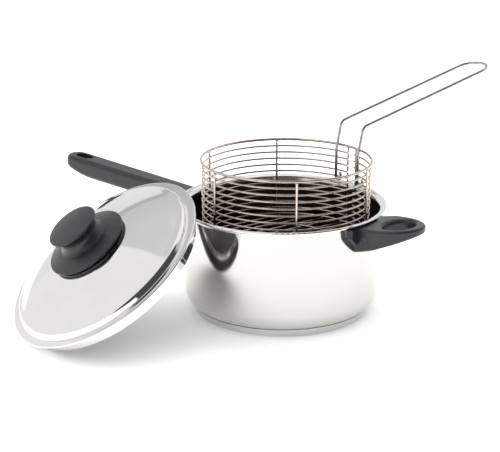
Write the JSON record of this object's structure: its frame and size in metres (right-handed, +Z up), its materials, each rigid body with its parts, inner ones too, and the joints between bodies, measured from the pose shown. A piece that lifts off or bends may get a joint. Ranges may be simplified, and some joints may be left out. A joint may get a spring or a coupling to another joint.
{
  "type": "stove-top deep fryer",
  "caption": "Stainless chip pan with long and helper handles, a domed lid with a black knob leaning on its rim, and a raised wire frying basket with a folding wire handle.",
  "frame": {"origin": "centre of the underside of the pan's base, on the surface it stands on", "axes": "+Z up along the pan's axis, -X along the long handle, +X along the helper handle"},
  "size_m": [0.4517, 0.5108, 0.2295],
  "materials": {
    "pan_steel": "mirror-polished stainless steel",
    "lid_steel": "mirror-polished stainless steel",
    "capsule_steel": "polished stainless steel",
    "core_aluminium": "plain, sealed inside the base",
    "phenolic": "satin moulded phenolic",
    "bracket_steel": "pressed, hidden in the handle",
    "screw_steel": "bright zinc",
    "insert_brass": "turned",
    "basket_wire": "nickel-chrome plated wire",
    "handle_wire": "nickel-chrome plated wire"
  },
  "bodies": {
    "pan": {"pan_body": "pan_steel", "base_core": "core_aluminium", "base_capsule": "capsule_steel", "long_handle": "phenolic", "helper_handle": "phenolic", "long_handle_bracket": "bracket_steel", "helper_handle_bracket": "bracket_steel", "long_handle_screw": "screw_steel", "helper_handle_screw": "screw_steel"},
    "lid": {"lid_shell": "lid_steel", "lid_knob": "phenolic", "knob_insert": "insert_brass", "knob_washer": "screw_steel", "knob_screw": "screw_steel"},
    "basket": {"basket_top_ring": "basket_wire", "basket_bottom_ring": "basket_wire", "basket_floor_ring": "basket_wire", "basket_hoop_01": "basket_wire", "basket_hoop_02": "basket_wire", "basket_hoop_03": "basket_wire", "basket_hoop_04": "basket_wire", "basket_hoop_05": "basket_wire", "basket_hoop_06": "basket_wire", "basket_hoop_07": "basket_wire", "basket_hoop_08": "basket_wire", "basket_hoop_09": "basket_wire", "basket_hoop_10": "basket_wire", "basket_hoop_11": "basket_wire", "basket_upright_01": "basket_wire", "basket_upright_02": "basket_wire", "basket_upright_03": "basket_wire", "basket_upright_04": "basket_wire", "basket_upright_05": "basket_wire", "basket_upright_06": "basket_wire", "basket_upright_07": "basket_wire", "basket_floor_wire_01": "basket_wire", "basket_floor_wire_02": "basket_wire", "basket_floor_wire_03": "basket_wire", "basket_floor_wire_04": "basket_wire", "basket_floor_wire_05": "basket_wire", "basket_floor_wire_06": "basket_wire", "basket_floor_wire_07": "basket_wire", "basket_floor_wire_08": "basket_wire", "basket_floor_wire_09": "basket_wire", "basket_floor_wire_10": "basket_wire", "basket_floor_wire_11": "basket_wire", "basket_floor_wire_12": "basket_wire", "basket_floor_wire_13": "basket_wire"},
    "basket_handle": {"basket_handle": "handle_wire"}
  },
  "joints": [
    {"name": "basket_lift", "type": "slide", "parent": "pan", "child": "basket", "axis": [0, 0, 1], "range_m": [-0.062, 0.12]},
    {"name": "basket_handle_fold", "type": "hinge", "parent": "basket", "child": "basket_handle", "pos_m": [0.03294, 0.08272, 0.1219], "axis": [0.9336, -0.3584, 0], "range_deg": [0, 114.5]},
    {"name": "lid_lift", "type": "slide", "parent": "pan", "child": "lid", "axis": [-0.2571, -0.5349, 0.8048], "range_m": [0, 0.16]}
  ]
}
